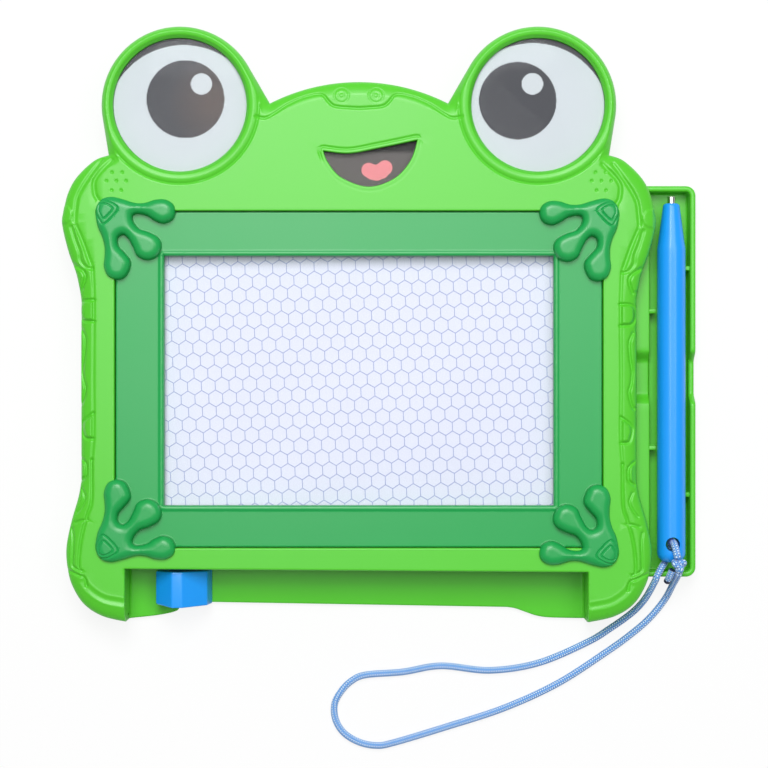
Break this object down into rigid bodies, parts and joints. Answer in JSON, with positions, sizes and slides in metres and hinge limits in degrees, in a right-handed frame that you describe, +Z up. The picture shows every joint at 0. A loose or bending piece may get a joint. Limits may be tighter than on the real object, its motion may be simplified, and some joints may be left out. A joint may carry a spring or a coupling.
{
  "type": "magnetic drawing board",
  "caption": "Flat children's magnetic drawing board in a frog-shaped case, with a sliding eraser bar, a side tray and a corded magnetic pen.",
  "frame": {"origin": "centre of the board's outline without the cord, on the flat underside", "axes": "+X to the right of the frog's face, towards the pen tray, +Y towards the eyes, +Z up out of the writing face"},
  "size_m": [0.1954, 0.2239, 0.0191],
  "materials": {
    "case_plastic": "satin moulded plastic, light green",
    "bezel_plastic": "satin moulded plastic, dark green",
    "blue_plastic": "glossy moulded plastic, blue",
    "carrier_plastic": "plain moulded plastic",
    "screen_film": "thin sheet, semi-matt",
    "screen_core": "honeycomb cells filled with white liquid",
    "screen_seal": "cured seal",
    "clear_window": "clear glossy plastic",
    "printed_card": "printed card",
    "magnet_strip": "flexible magnet strip",
    "screw_steel": "plated screw",
    "tip_steel": "polished metal tip",
    "braided_cord": "braided polyester cord, light blue with dark flecks"
  },
  "bodies": {
    "board": {"front_shell": "case_plastic", "rear_cover": "case_plastic", "bezel_frame": "bezel_plastic", "screen_front_film": "screen_film", "screen_honeycomb_core": "screen_core", "screen_edge_seal": "screen_seal", "screen_back_film": "screen_film", "eye_card_left": "printed_card", "eye_window_left": "clear_window", "eye_card_right": "printed_card", "eye_window_right": "clear_window", "mouth_window": "clear_window", "mouth_card": "printed_card", "rear_screw_1": "screw_steel", "rear_screw_2": "screw_steel", "rear_screw_3": "screw_steel", "rear_screw_4": "screw_steel", "rear_screw_5": "screw_steel", "rear_screw_6": "screw_steel"},
    "eraser": {"eraser_knob": "blue_plastic", "eraser_carrier": "carrier_plastic", "eraser_magnet": "magnet_strip"},
    "pen": {"pen_barrel": "blue_plastic", "pen_tip": "tip_steel", "wrist_cord": "braided_cord", "cord_knot": "braided_cord", "cord_tail": "braided_cord"}
  },
  "joints": [
    {"name": "eraser_slide", "type": "slide", "parent": "board", "child": "eraser", "axis": [1, 0, 0], "range_m": [-0.0077, 0.1159]},
    {"name": "pen_lift", "type": "slide", "parent": "board", "child": "pen", "axis": [0, 0, 1], "range_m": [0, 0.03]}
  ]
}
